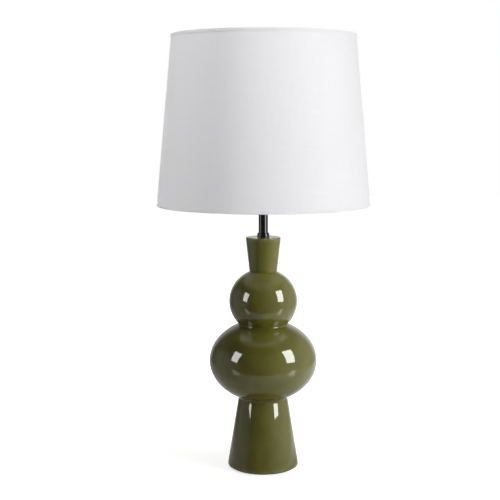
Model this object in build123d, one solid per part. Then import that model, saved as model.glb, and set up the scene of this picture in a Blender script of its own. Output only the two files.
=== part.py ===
from build123d import *
import os
from math import acos, asin, atan2, cos, degrees, hypot, sin, sqrt

# Table lamp: a glazed ceramic body of stacked turned forms, a black neck tube, a screw
# lampholder with its bulb, and a tapered drum shade carried on a wire spider.
# Millimetres, +Z up. The origin is under the middle of the felt foot.

# Fits
seat_gap = 0.05
thread_gap = 0.3
sliding_gap = 0.2
contact_gap = 0.3
clamp_gap = 0.3

# Felt foot
pad_thickness = 1.5
pad_margin = 4.0

# Ceramic body: cone foot, squashed belly, ball and flaring neck, cast in one piece
base_radius = 59.0
waist_radius = 40.4
cone_height = 118.0
belly_radius = 89.4
belly_half_height = 68.6
crease_radius = 40.0
ball_radius = 56.5
ball_half_height = 54.0
root_radius = 22.7
neck_top_radius = 29.1
neck_height = 57.4
ceramic_wall = 5.0
deck_thickness = 9.0
floor_height = 26.0
floor_thickness = 6.0
rod_hole_gap = 0.5
crease_blend = 2.0
root_blend = 2.5
top_edge_blend = 1.2
foot_edge_blend = 1.5

# Cord inlet at the back of the foot
inlet_height = 12.5
bushing_radius = 5.5
bushing_bore = 4.0
bushing_flange_radius = 7.5
bushing_lip = 2.0
bushing_tail = 2.0
bushing_edge_blend = 0.8

# Clamping stack under the ceramic floor
rod_radius = 5.0
rod_bore = 3.5
rod_end_below_nut = 4.0
washer_radius = 20.0
cushion_thickness = 2.0
clamp_thickness = 2.5
lock_radius = 9.0
lock_thickness = 1.5
lock_split = 1.6
nut_across_flats = 15.0
nut_height = 6.0

# Neck tube and its collar
collar_flange = 2.25
collar_height = 7.0
collar_chamfer = 0.9
collar_seat = 3.0
tube_radius = 7.75
tube_wall = 1.0
tube_length = 40.5

# Lampholder
boss_radius = 9.0
boss_height = 7.0
dome_height = 12.0
cap_height = 26.0
cap_wall = 2.0
cap_floor = 3.0
wiring_margin = 0.7
wiring_height = 4.0
rod_end_in_cap = 1.5
block_radius = 16.8
block_height = 8.0
spigot_wall = 1.2
spigot_length = 5.5
locking_screw_radius = 1.5
terminal_length = 8.6
terminal_width = 6.6
terminal_height = 5.6
terminal_offset = 9.0
terminal_screw_radius = 1.5
terminal_head_radius = 2.8
terminal_head_height = 2.0
terminal_slot_width = 0.8
terminal_slot_depth = 0.9
shell_radius = 14.0
shell_wall = 0.5
shell_height = 20.0
shell_flange = 5.0
leaf_width = 6.0
leaf_thickness = 0.6
leaf_rise = 1.9
leaf_ramp = 3.0
leaf_tongue = 4.0
skirt_height = 6.0
shoulder_width = 3.5
shoulder_height = 2.0
barrel_wall = 2.3
barrel_height = 24.0
barrel_chamfer = 0.8

# Shade: fabric on a stiff liner, with a tape folded over a wire ring at each rim
shade_bottom_radius = 175.0
shade_top_radius = 149.25
shade_height = 275.0
cover_thickness = 0.6
liner_thickness = 0.6
tape_thickness = 0.5
tape_height = 5.0
top_wire_radius = 1.5
bottom_wire_radius = 1.75

# Spider that carries the shade
fitter_recess = 25.35
gallery_gap = 1.0
gallery_thickness = 1.5
spoke_count = 3
first_spoke_angle = 90.0
spoke_radius = 1.75
spoke_clearance = 2.0
spoke_weld_length = 5.0
spoke_run = 80.0
spoke_bend = 30.0
spoke_notch_gap = 0.3

# Ring that screws down on the gallery
ring_wall = 7.4
ring_height = 9.0
ring_chamfer = 1.0
flute_count = 24
flute_radius = 1.6
flute_depth = 0.9

# Bulb
contact_radius = 5.5
contact_height = 1.2
contact_chamfer = 1.0
insulator_bottom_radius = 7.0
insulator_height = 3.0
bulb_cap_height = 21.0
bulb_cap_wall = 0.5
bulb_cap_chamfer = 1.6
housing_spigot = 4.0
housing_step = 1.0
housing_neck_height = 5.0
housing_height = 34.0
globe_radius = 30.0
globe_wall = 1.5
globe_seat_drop = 14.0

# Levels of the ceramic body, from the foot up
foot_z = pad_thickness
floor_z = foot_z + floor_height
cavity_z = floor_z + floor_thickness
waist_z = foot_z + cone_height
belly_z = waist_z + belly_half_height * sqrt(1 - (waist_radius / belly_radius) ** 2)
crease_z = belly_z + belly_half_height * sqrt(1 - (crease_radius / belly_radius) ** 2)
ball_z = crease_z + ball_half_height * sqrt(1 - (crease_radius / ball_radius) ** 2)
root_z = ball_z + ball_half_height * sqrt(1 - (root_radius / ball_radius) ** 2)
neck_top_z = root_z + neck_height
inlet_z = foot_z + inlet_height

# Levels of the clamping stack, hanging below the ceramic floor
cushion_z = floor_z - cushion_thickness
clamp_z = cushion_z - clamp_thickness
lock_z = clamp_z - lock_thickness
nut_z = lock_z - nut_height
rod_z = nut_z - rod_end_below_nut

# Radii that follow from the pieces inside them
collar_radius = tube_radius + collar_flange
wiring_radius = terminal_offset + terminal_head_radius + wiring_margin
sleeve_bore = block_radius + sliding_gap
spigot_radius = sleeve_bore + spigot_wall
cap_thread_radius = spigot_radius + thread_gap
holder_radius = cap_thread_radius + cap_wall
barrel_radius = sleeve_bore + barrel_wall
shoulder_radius = holder_radius + shoulder_width
gallery_radius = shoulder_radius + spoke_clearance + spoke_weld_length
ring_bore = barrel_radius + thread_gap
ring_radius = ring_bore + ring_wall
shell_hole = shell_radius - shell_flange
bulb_cap_radius = shell_radius - shell_wall - thread_gap
housing_neck_radius = bulb_cap_radius + housing_step

# Levels of the neck and the lampholder
collar_top_z = neck_top_z + collar_height
tube_z = collar_top_z - collar_seat
holder_z = tube_z + tube_length
wiring_z = holder_z + boss_height + cap_floor
block_z = wiring_z + wiring_height
shell_z = block_z + block_height
cap_top_z = holder_z + cap_height
dome_top_z = holder_z + boss_height + dome_height
rod_top_z = wiring_z + rod_end_in_cap
shoulder_z = cap_top_z + skirt_height
gallery_z = shoulder_z + shoulder_height
barrel_top_z = gallery_z + barrel_height
gallery_top_z = gallery_z + gallery_thickness
ring_z = gallery_top_z + clamp_gap

# Levels of the bulb
contact_z = shell_z + leaf_rise + leaf_thickness + contact_gap
insulator_z = contact_z + contact_height
bulb_cap_z = insulator_z + insulator_height
housing_z = bulb_cap_z + bulb_cap_height
globe_z = housing_z + housing_height

# Section of the shade's wall
shade_z = gallery_z - fitter_recess
shade_slope = hypot(shade_bottom_radius - shade_top_radius, shade_height)
shade_lean = atan2(shade_bottom_radius - shade_top_radius, shade_height)
cover_inside = tape_thickness + cover_thickness
liner_inside = cover_inside + liner_thickness


def turned(*profile):
    """A solid turned about the lamp's axis from (radius, height) corners."""
    return revolve(Plane.XZ * make_face(Polyline(*profile, close=True)), Axis.Z)


def turned_outline(*edges):
    """A solid turned about the lamp's axis from a closed run of lines and arcs."""
    return revolve(Plane.XZ * make_face(edges), Axis.Z)


def ring(inner, outer, bottom, top):
    """A plain round ring on the lamp's axis."""
    return turned((inner, bottom), (outer, bottom), (outer, top), (inner, top))


def post(radius, bottom, top):
    """A plain round post on the lamp's axis."""
    return turned((0, bottom), (radius, bottom), (radius, top), (0, top))


def cross_pin(radius, start, end, height):
    """A round pin along +Y, through the lamp's axis line at that height."""
    base_aligned = (Align.CENTER, Align.CENTER, Align.MIN)
    return Pos(0, start, height) * Rot(-90, 0, 0) * Cylinder(radius, end - start, align=base_aligned)


def circles(solid, radius, height):
    """The solid's round edges of that radius at that height."""
    rounds = solid.edges().filter_by(GeomType.CIRCLE)
    return [e for e in rounds if abs(e.radius - radius) < 0.01 and abs(e.arc_center.Z - height) < 0.01]


def cone_radius(height):
    """Outer radius of the cone foot at that height."""
    return base_radius + (waist_radius - base_radius) * (height - foot_z) / cone_height


def neck_radius(height):
    """Outer radius of the flaring neck at that height."""
    return root_radius + (neck_top_radius - root_radius) * (height - root_z) / neck_height


def bulge(level, radius, half_height, low_radius, high_radius):
    """Outline of a squashed ball between a circle on it below the middle and one above."""
    low_angle = -degrees(acos(low_radius / radius))
    high_angle = degrees(acos(high_radius / radius))
    return EllipticalCenterArc((0, level), radius, half_height, low_angle, arc_size=high_angle - low_angle)


def squashed_ball(level, radius, half_height):
    """A whole squashed ball on the lamp's axis."""
    low = (0, level - half_height)
    high = (0, level + half_height)
    half = EllipticalCenterArc((0, level), radius, half_height, -90, arc_size=180)
    return turned_outline(half, Line(high, low))


def foot_pad():
    return post(base_radius - pad_margin, 0, foot_z)


def ceramic_outside():
    """The glazed form, with its creases and edges softened."""
    body = turned_outline(
        Line((0, foot_z), (base_radius, foot_z)),
        Line((base_radius, foot_z), (waist_radius, waist_z)),
        bulge(belly_z, belly_radius, belly_half_height, waist_radius, crease_radius),
        bulge(ball_z, ball_radius, ball_half_height, crease_radius, root_radius),
        Line((root_radius, root_z), (neck_top_radius, neck_top_z)),
        Line((neck_top_radius, neck_top_z), (0, neck_top_z)),
        Line((0, neck_top_z), (0, foot_z)),
    )
    softened = (
        (base_radius, foot_z, foot_edge_blend),
        (waist_radius, waist_z, crease_blend),
        (crease_radius, crease_z, crease_blend),
        (root_radius, root_z, root_blend),
        (neck_top_radius, neck_top_z, top_edge_blend),
    )
    for radius, height, blend in softened:
        body = fillet(circles(body, radius, height), blend)
    return body


def ceramic_cavity():
    """The hollow that follows the outside at one wall thickness, closed by a floor and a deck."""
    deck_z = neck_top_z - deck_thickness
    hollow = turned(
        (0, cavity_z),
        (cone_radius(cavity_z) - ceramic_wall, cavity_z),
        (cone_radius(belly_z) - ceramic_wall, belly_z),
        (0, belly_z),
    )
    hollow += squashed_ball(belly_z, belly_radius - ceramic_wall, belly_half_height - ceramic_wall)
    hollow += squashed_ball(ball_z, ball_radius - ceramic_wall, ball_half_height - ceramic_wall)
    hollow += turned(
        (0, ball_z),
        (neck_radius(ball_z) - ceramic_wall, ball_z),
        (neck_radius(deck_z) - ceramic_wall, deck_z),
        (0, deck_z),
    )
    return hollow


def ceramic_body():
    recess = turned(
        (0, foot_z),
        (base_radius - ceramic_wall, foot_z),
        (cone_radius(floor_z) - ceramic_wall, floor_z),
        (0, floor_z),
    )
    rod_hole = post(rod_radius + rod_hole_gap, foot_z, neck_top_z)
    inlet_start = cone_radius(inlet_z) - 2 * ceramic_wall
    inlet_hole = cross_pin(bushing_radius + sliding_gap, inlet_start, base_radius, inlet_z)
    return ceramic_outside() - ceramic_cavity() - recess - rod_hole - inlet_hole


def cord_bushing():
    """Grommet in the back of the foot: its flange lies on the cone, its tail looks inside."""
    face_y = cone_radius(inlet_z - bushing_flange_radius) + bushing_lip
    tail_y = cone_radius(inlet_z) - ceramic_wall - bushing_tail
    flange = cross_pin(bushing_flange_radius, tail_y, face_y, inlet_z)
    rim = [e for e in flange.edges().filter_by(GeomType.CIRCLE) if abs(e.arc_center.Y - face_y) < 0.01]
    flange = fillet(rim, bushing_edge_blend)
    cone = turned(
        (0, foot_z),
        (base_radius + seat_gap, foot_z),
        (waist_radius + seat_gap, waist_z),
        (0, waist_z),
    )
    flange -= cone
    bushing = flange + cross_pin(bushing_radius, tail_y, face_y - bushing_edge_blend, inlet_z)
    return bushing - cross_pin(bushing_bore, tail_y, face_y, inlet_z)


def tie_rod():
    return ring(rod_bore, rod_radius, rod_z, rod_top_z)


def cushion_washer():
    return ring(rod_radius + sliding_gap, washer_radius, cushion_z, floor_z)


def clamp_washer():
    return ring(rod_radius + sliding_gap, washer_radius, clamp_z, cushion_z)


def lock_washer():
    """Spring washer, split through on one side."""
    washer = ring(rod_radius + sliding_gap, lock_radius, lock_z, clamp_z)
    split = Box(lock_radius, lock_split, lock_thickness, align=(Align.MIN, Align.CENTER, Align.MIN))
    return washer - Pos(0, 0, lock_z) * split


def rod_nut():
    hexagon = RegularPolygon(nut_across_flats / 2, 6, major_radius=False)
    blank = Pos(0, 0, nut_z) * extrude(hexagon, nut_height)
    return blank - post(rod_radius + seat_gap, nut_z, lock_z)


def neck_collar():
    """Turned collar on the neck's deck, with a seat for the tube in its top."""
    bore = rod_radius + sliding_gap
    seat = tube_radius + seat_gap
    return turned(
        (bore, neck_top_z),
        (collar_radius, neck_top_z),
        (collar_radius, collar_top_z - collar_chamfer),
        (collar_radius - collar_chamfer, collar_top_z),
        (seat, collar_top_z),
        (seat, tube_z),
        (bore, tube_z),
    )


def neck_tube():
    return ring(tube_radius - tube_wall, tube_radius, tube_z, holder_z)


def holder_cap():
    """Domed cap of the lampholder: boss on the rod, wiring space, seat and thread for the sleeve."""
    bore = rod_radius + seat_gap
    thread_z = cap_top_z - spigot_length - sliding_gap
    dome_radius = holder_radius - boss_radius
    dome = EllipticalCenterArc((boss_radius, dome_top_z), dome_radius, dome_height, -90, arc_size=90)
    boss = Polyline((bore, wiring_z), (bore, holder_z), (boss_radius, holder_z), dome @ 0)
    inside = Polyline(
        dome @ 1,
        (holder_radius, cap_top_z),
        (cap_thread_radius, cap_top_z),
        (cap_thread_radius, thread_z),
        (sleeve_bore, thread_z),
        (sleeve_bore, block_z),
        (wiring_radius, block_z),
        (wiring_radius, wiring_z),
        (bore, wiring_z),
    )
    cap = turned_outline(boss, dome, inside)
    screw_z = holder_z + boss_height / 2
    return cap - cross_pin(locking_screw_radius + seat_gap, rod_radius, boss_radius, screw_z)


def cap_locking_screw():
    """Grub screw through the boss that stops the cap turning on the rod."""
    start = rod_radius + seat_gap
    return cross_pin(locking_screw_radius, start, boss_radius, holder_z + boss_height / 2)


def terminal_places():
    """The two terminals, left and right of the axis on the underside of the contact block."""
    return [Pos(-terminal_offset, 0, block_z), Pos(terminal_offset, 0, block_z)]


def contact_block():
    """Porcelain disc with a pocket from below for each terminal."""
    base_aligned = (Align.CENTER, Align.CENTER, Align.MIN)
    gap = 2 * sliding_gap
    pocket = Box(terminal_width + gap, terminal_length + gap, terminal_height, align=base_aligned)
    block = post(block_radius, block_z, shell_z)
    for place in terminal_places():
        block -= place * pocket
    return block


def terminal_clamps():
    base_aligned = (Align.CENTER, Align.CENTER, Align.MIN)
    clamp = Box(terminal_width, terminal_length, terminal_height, align=base_aligned)
    clamp -= post(terminal_screw_radius + seat_gap, 0, terminal_height)
    return Compound([place * clamp for place in terminal_places()])


def terminal_screws():
    """Slotted screws, their heads below the clamps in the wiring space."""
    base_aligned = (Align.CENTER, Align.CENTER, Align.MIN)
    head = post(terminal_head_radius, -terminal_head_height, 0)
    screw = head + post(terminal_screw_radius, 0, terminal_height)
    slot = Box(2 * terminal_head_radius, terminal_slot_width, terminal_slot_depth, align=base_aligned)
    screw -= Pos(0, 0, -terminal_head_height) * slot
    return Compound([place * screw for place in terminal_places()])


def screw_shell():
    """Drawn brass shell that takes the bulb's cap, with a turned-in flange on the block."""
    inside = shell_radius - shell_wall
    return turned(
        (shell_hole, shell_z),
        (shell_radius, shell_z),
        (shell_radius, shell_z + shell_height),
        (inside, shell_z + shell_height),
        (inside, shell_z + shell_wall),
        (shell_hole, shell_z + shell_wall),
    )


def centre_contact():
    """Bent spring leaf: a foot on the block, a ramp and a tongue under the bulb."""
    tongue_start = -leaf_tongue / 2
    ramp_start = tongue_start - leaf_ramp
    foot_start = sliding_gap - sqrt(shell_hole**2 - (leaf_width / 2) ** 2)
    under = [(foot_start, 0), (ramp_start, 0), (tongue_start, leaf_rise), (-tongue_start, leaf_rise)]
    over = [(x, z + leaf_thickness) for x, z in reversed(under)]
    strip = make_face(Polyline(*under, *over, close=True))
    return Pos(0, 0, shell_z) * extrude(Plane.XZ * strip, leaf_width / 2, both=True)


def holder_sleeve():
    """Outer sleeve: spigot in the cap, skirt, shoulder under the gallery and threaded barrel."""
    return turned(
        (sleeve_bore, cap_top_z - spigot_length),
        (spigot_radius, cap_top_z - spigot_length),
        (spigot_radius, cap_top_z),
        (holder_radius, cap_top_z),
        (holder_radius, shoulder_z),
        (shoulder_radius, shoulder_z),
        (shoulder_radius, gallery_z),
        (barrel_radius, gallery_z),
        (barrel_radius, barrel_top_z - barrel_chamfer),
        (barrel_radius - barrel_chamfer, barrel_top_z),
        (sleeve_bore, barrel_top_z),
    )


def wall_point(inward, upward):
    """A point of the shade wall's section: square to the wall from its outside, and up along it."""
    radius = shade_bottom_radius - inward * cos(shade_lean) - upward * sin(shade_lean)
    return radius, shade_z + upward * cos(shade_lean) - inward * sin(shade_lean)


def wall_layer(outside, inside):
    """One layer of the shade's wall, between the folds of the two rim tapes."""
    bottom = tape_thickness + seat_gap
    top = shade_slope - tape_thickness - seat_gap
    corners = ((outside, bottom), (inside, bottom), (inside, top), (outside, top))
    return turned(*[wall_point(inward, upward) for inward, upward in corners])


def shade_cover():
    return wall_layer(tape_thickness, cover_inside)


def shade_liner():
    return wall_layer(cover_inside, liner_inside)


def wire_centre(wire_radius, from_bottom):
    """Where a rim's wire runs: against the liner, in the fold of the tape."""
    inward = liner_inside + seat_gap + wire_radius
    upward = tape_thickness + seat_gap + wire_radius
    return wall_point(inward, upward if from_bottom else shade_slope - upward)


def wire_ring(wire_radius, from_bottom, extra=0.0):
    radius, height = wire_centre(wire_radius, from_bottom)
    return Pos(0, 0, height) * Torus(radius, wire_radius + extra)


def top_wire_ring():
    return wire_ring(top_wire_radius, False)


def bottom_wire_ring():
    return wire_ring(bottom_wire_radius, True)


def rim_tape(wire_radius, from_bottom):
    """Tape folded over a rim: outside on the cover, round the edge, inside over the wire."""
    depth = liner_inside + 2 * (seat_gap + wire_radius)
    section = (
        (0, 0),
        (depth + tape_thickness, 0),
        (depth + tape_thickness, tape_height),
        (depth, tape_height),
        (depth, tape_thickness),
        (tape_thickness, tape_thickness),
        (tape_thickness, tape_height),
        (0, tape_height),
    )
    return turned(*[wall_point(u, v if from_bottom else shade_slope - v) for u, v in section])


def top_rim_tape():
    return rim_tape(top_wire_radius, False)


def spoke_wires(extra=0.0):
    """Bent wires from under the gallery plate, out and down to the bottom wire ring."""
    weld_z = gallery_z - seat_gap - spoke_radius
    end_radius, end_z = wire_centre(bottom_wire_radius, True)
    start = (gallery_radius - spoke_weld_length, 0, weld_z)
    corner = (gallery_radius + spoke_run, 0, weld_z)
    path = FilletPolyline(start, corner, (end_radius, 0, end_z), radius=spoke_bend)
    wire = sweep(Plane(origin=start, z_dir=(1, 0, 0)) * Circle(spoke_radius + extra), path=path)
    turn = 360 / spoke_count
    return [Rot(0, 0, first_spoke_angle + i * turn) * wire for i in range(spoke_count)]


def spider_spokes():
    weld = wire_ring(bottom_wire_radius, True, seat_gap)
    return Compound([wire - weld for wire in spoke_wires()])


def bottom_rim_tape():
    """The lower tape, opened where the spokes reach the wire."""
    tape = rim_tape(bottom_wire_radius, True)
    for wire in spoke_wires(spoke_notch_gap):
        tape -= wire
    return tape


def gallery_ring():
    return ring(barrel_radius + gallery_gap, gallery_radius, gallery_z, gallery_top_z)


def shade_ring():
    """Fluted ring on the barrel's thread that holds the gallery down on the shoulder."""
    top = ring_z + ring_height
    body = turned(
        (ring_bore, ring_z),
        (ring_radius, ring_z),
        (ring_radius, top - ring_chamfer),
        (ring_radius - ring_chamfer, top),
        (ring_bore, top),
    )
    flute = post(flute_radius, ring_z, top)
    for place in PolarLocations(ring_radius + flute_radius - flute_depth, flute_count):
        body -= place * flute
    return body


def bulb_contact():
    return turned(
        (0, contact_z),
        (contact_radius - contact_chamfer, contact_z),
        (contact_radius, insulator_z),
        (0, insulator_z),
    )


def bulb_insulator():
    return turned(
        (0, insulator_z),
        (insulator_bottom_radius, insulator_z),
        (bulb_cap_radius - bulb_cap_chamfer, bulb_cap_z),
        (0, bulb_cap_z),
    )


def bulb_cap():
    """Thin metal screw cap, open at the top for the housing's spigot."""
    inside = bulb_cap_radius - bulb_cap_wall
    return turned(
        (0, bulb_cap_z),
        (bulb_cap_radius - bulb_cap_chamfer, bulb_cap_z),
        (bulb_cap_radius, bulb_cap_z + bulb_cap_chamfer),
        (bulb_cap_radius, housing_z),
        (inside, housing_z),
        (inside, bulb_cap_z + bulb_cap_chamfer + bulb_cap_wall),
        (inside - bulb_cap_chamfer, bulb_cap_z + bulb_cap_wall),
        (0, bulb_cap_z + bulb_cap_wall),
    )


def bulb_housing():
    """Moulded housing that flares from the cap to the globe's rim."""
    spigot = bulb_cap_radius - bulb_cap_wall - seat_gap
    rim = (sqrt(globe_radius**2 - globe_seat_drop**2), globe_z)
    neck = Polyline(
        (0, housing_z - housing_spigot),
        (spigot, housing_z - housing_spigot),
        (spigot, housing_z),
        (housing_neck_radius, housing_z),
        (housing_neck_radius, housing_z + housing_neck_height),
    )
    flare = TangentArc(neck @ 1, rim, tangent=(0, 1))
    return turned_outline(neck, flare, Polyline(rim, (0, globe_z), neck @ 0))


def bulb_globe():
    """Hollow opal globe, cut flat where it sits on the housing."""
    middle = (0, globe_z + globe_seat_drop)
    inside_radius = globe_radius - globe_wall
    outside_angle = -degrees(asin(globe_seat_drop / globe_radius))
    inside_angle = -degrees(asin(globe_seat_drop / inside_radius))
    outside = CenterArc(middle, globe_radius, outside_angle, 90 - outside_angle)
    inside = CenterArc(middle, inside_radius, inside_angle, 90 - inside_angle)
    return turned_outline(outside, inside, Line(outside @ 0, inside @ 0), Line(outside @ 1, inside @ 1))


pieces = (
    foot_pad,
    ceramic_body,
    cord_bushing,
    tie_rod,
    cushion_washer,
    clamp_washer,
    lock_washer,
    rod_nut,
    neck_collar,
    neck_tube,
    holder_cap,
    cap_locking_screw,
    contact_block,
    terminal_clamps,
    terminal_screws,
    screw_shell,
    centre_contact,
    holder_sleeve,
    shade_cover,
    shade_liner,
    top_rim_tape,
    bottom_rim_tape,
    top_wire_ring,
    bottom_wire_ring,
    spider_spokes,
    gallery_ring,
    shade_ring,
    bulb_contact,
    bulb_insulator,
    bulb_cap,
    bulb_housing,
    bulb_globe,
)

os.makedirs("parts", exist_ok=True)
for piece in pieces:
    export_step(piece(), f"parts/{piece.__name__}.step")
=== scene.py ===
from math import acos, atan2, cos, hypot, pi, radians, sin, tau

import bmesh
import bpy
import numpy as np
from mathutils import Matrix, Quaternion, Vector, noise


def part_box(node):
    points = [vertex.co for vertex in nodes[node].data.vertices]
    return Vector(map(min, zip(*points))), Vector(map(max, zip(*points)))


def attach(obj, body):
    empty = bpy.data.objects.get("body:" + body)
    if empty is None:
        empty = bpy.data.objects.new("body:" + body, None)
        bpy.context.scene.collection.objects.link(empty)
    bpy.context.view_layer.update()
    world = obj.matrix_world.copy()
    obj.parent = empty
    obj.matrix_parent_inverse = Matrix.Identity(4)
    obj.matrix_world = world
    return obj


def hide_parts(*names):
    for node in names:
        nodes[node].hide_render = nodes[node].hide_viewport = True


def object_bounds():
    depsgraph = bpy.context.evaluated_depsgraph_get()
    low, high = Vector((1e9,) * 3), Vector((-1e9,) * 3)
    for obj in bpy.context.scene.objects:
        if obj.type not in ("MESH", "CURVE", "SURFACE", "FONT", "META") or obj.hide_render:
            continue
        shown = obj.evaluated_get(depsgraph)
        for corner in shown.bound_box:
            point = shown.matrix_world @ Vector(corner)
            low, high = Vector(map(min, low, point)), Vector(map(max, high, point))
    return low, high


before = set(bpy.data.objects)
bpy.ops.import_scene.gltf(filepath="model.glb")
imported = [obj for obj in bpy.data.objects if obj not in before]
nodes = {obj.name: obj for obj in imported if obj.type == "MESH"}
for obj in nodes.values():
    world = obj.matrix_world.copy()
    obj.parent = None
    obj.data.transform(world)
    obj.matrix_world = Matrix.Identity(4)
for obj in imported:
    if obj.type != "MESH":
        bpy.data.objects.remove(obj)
cad_low, cad_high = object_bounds()


# Felt foot
# A die-cut disc of pressed wool felt, 110 mm across and 1.5 mm thick, glued under the hollow ceramic
# foot so that the glaze doesn't scratch the table.
pad_low, pad_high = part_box("foot_pad")
pad_radius = pad_high.x
felt_dark = (0.012, 0.012, 0.013, 1.0)
felt_light = (0.045, 0.045, 0.047, 1.0)
felt_fibres_per_metre = 900.0
felt_pile = 0.0006


def softened(corners, step, rounds, turn, reach, closed=False, crisp=(), wide=()):
    """An outline through (radius, height) corners: divided evenly by a step, worn round, and thinned to
    points a turn or a reach apart. The crisp corners stay sharp, and the wide ones are worn further."""
    crisp_reach, wide_reach = 4 * step, 20 * step
    wide_rounds = 4 * rounds if wide else 0
    ends = corners[1:] + corners[:1] if closed else corners[1:]
    fine = []
    for (r0, z0), (r1, z1) in zip(corners, ends):
        parts = max(1, round(hypot(r1 - r0, z1 - z0) / step))
        fine += [(r0 + (r1 - r0) * i / parts, z0 + (z1 - z0) * i / parts) for i in range(parts)]
    if not closed:
        fine.append(corners[-1])
    points = np.array(fine)
    sharp = np.array([any(hypot(*(point - corner)) < crisp_reach for corner in crisp) for point in points])
    other = np.array([all(hypot(*(point - corner)) > wide_reach for corner in wide) for point in points])
    for held in [sharp] * rounds + [other] * wide_rounds:
        worn = (np.roll(points, 1, 0) + 2 * points + np.roll(points, -1, 0)) / 4
        if not closed:
            worn[0], worn[-1] = points[0], points[-1]
        worn[held] = points[held]
        points = worn
    kept = [points[0]]
    bend = 0.0
    for before, here, after in zip(points, points[1:], points[2:]):
        into, out = here - before, after - here
        bend += abs(atan2(into[0] * out[1] - into[1] * out[0], into @ out))
        if bend > turn or np.linalg.norm(here - kept[-1]) > reach:
            kept.append(here)
            bend = 0.0
    kept.append(points[-1])
    return [(float(radius), float(height)) for radius, height in kept]


def lengths_along(outline):
    """How far along a closed outline each of its points lies, and last the length of the whole."""
    lengths = [0.0]
    for (r0, z0), (r1, z1) in zip(outline, outline[1:] + outline[:1]):
        lengths.append(lengths[-1] + hypot(r1 - r0, z1 - z0))
    return lengths


def about_axis(angle, radius, height):
    """The place of a point at an angle about the lamp's axis."""
    return radius * cos(angle), radius * sin(angle), height


def mapped_face(mesh, uv, corners, places):
    """A face through its corners, with the place of each one on the UV map."""
    face = mesh.faces.new(corners)
    for loop, place in zip(face.loops, places):
        loop[uv].uv = place


def mapped_strip(mesh, uv, here, after, span, along, steps):
    """The faces between two neighbouring sections of a piece. On the UV map they lie across a span and
    along the section."""
    start, end = span
    for j in range(steps):
        k = (j + 1) % len(here)
        places = ((start, along[j]), (end, along[j]), (end, along[j + 1]), (start, along[j + 1]))
        mapped_face(mesh, uv, (here[j], after[j], after[k], here[k]), places)


def mesh_piece(name, mesh, material, weld=1e-7):
    """A new object in the scene from finished mesh data, smooth shaded, in one material."""
    bmesh.ops.remove_doubles(mesh, verts=mesh.verts, dist=weld)
    bmesh.ops.recalc_face_normals(mesh, faces=mesh.faces)
    for face in mesh.faces:
        face.smooth = True
    data = bpy.data.meshes.new(name)
    mesh.to_mesh(data)
    mesh.free()
    data.materials.append(material)
    piece = bpy.data.objects.new(name, data)
    bpy.context.scene.collection.objects.link(piece)
    return piece


def turned(name, outline, segments, material, closed=False, warp=None):
    """A piece turned about the lamp's axis from an outline, with its UV map in metres.
    warp gives a point's new (radius, height) from its angle, radius and height."""
    girth = tau * max(radius for radius, height in outline)
    steps = len(outline) if closed else len(outline) - 1
    along = lengths_along(outline)
    mesh = bmesh.new()
    uv = mesh.loops.layers.uv.new("metres")
    rings = []
    for i in range(segments):
        angle = tau * i / segments
        placed = [warp(angle, r, z) if warp else (r, z) for r, z in outline]
        rings.append([mesh.verts.new(about_axis(angle, r, z)) for r, z in placed])
    for i in range(segments):
        span = (girth * i / segments, girth * (i + 1) / segments)
        mapped_strip(mesh, uv, rings[i], rings[(i + 1) % segments], span, along, steps)
    return mesh_piece(name, mesh, material)


def new_material(name, **constants):
    """A material with one surface shader, and plain values set on the shader's own sockets."""
    material = bpy.data.materials.new(name)
    material.use_nodes = True
    shader = material.node_tree.nodes["Principled BSDF"]
    for key, value in constants.items():
        shader.inputs[key.replace("_", " ")].default_value = value
    return material, material.node_tree, shader


def add_node(tree, kind, settings=None, **inputs):
    """A new node: its settings first, then each named input set to a value or linked to a socket."""
    node = tree.nodes.new(kind)
    for key, value in (settings or {}).items():
        setattr(node, key, value)
    for key, value in inputs.items():
        join(tree, value, node.inputs[key.replace("_", " ")])
    return node


def join(tree, value, socket):
    """Links a socket to another, or sets it to a plain value."""
    if isinstance(value, bpy.types.NodeSocket):
        tree.links.new(value, socket)
    else:
        socket.default_value = value


def mix_colour(tree, share, first, second):
    """A colour between two others by a share that changes over the surface."""
    node = tree.nodes.new("ShaderNodeMix")
    node.data_type = "RGBA"
    for value, index in ((share, 0), (first, 6), (second, 7)):
        join(tree, value, node.inputs[index])
    return node.outputs[2]


def grain(tree, coords, per_metre, detail=4.0, distortion=0.0):
    """Cloudy noise at a scale given in features to the metre."""
    node = add_node(tree, "ShaderNodeTexNoise", Vector=coords, Scale=per_metre, Detail=detail)
    node.inputs["Distortion"].default_value = distortion
    return node.outputs["Fac"]


def relief(tree, shader, height, depth, normal=None):
    """Lets a height in the range 0 to 1 shape the shader's normal, at a real depth in metres."""
    bump = add_node(tree, "ShaderNodeBump", Height=height, Distance=depth, Strength=1.0)
    if normal:
        join(tree, normal, bump.inputs["Normal"])
    tree.links.new(bump.outputs["Normal"], shader.inputs["Normal"])


felt, tree, shader = new_material("felt", Roughness=0.96, Sheen_Weight=0.35, Sheen_Roughness=0.6)
coords = add_node(tree, "ShaderNodeTexCoord").outputs["Object"]
fibres = grain(tree, coords, felt_fibres_per_metre, detail=6.0, distortion=2.5)
join(tree, mix_colour(tree, fibres, felt_dark, felt_light), shader.inputs["Base Color"])
relief(tree, shader, fibres, felt_pile)
pad_outline = softened(
    [(0.0, pad_low.z), (pad_radius, pad_low.z), (pad_radius, pad_high.z), (0.0, pad_high.z)],
    step=0.0002, rounds=6, turn=0.3, reach=0.006,
)
foot_felt = turned("foot_felt", pad_outline, segments=128, material=felt)
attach(foot_felt, "base")
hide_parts("foot_pad")


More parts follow.
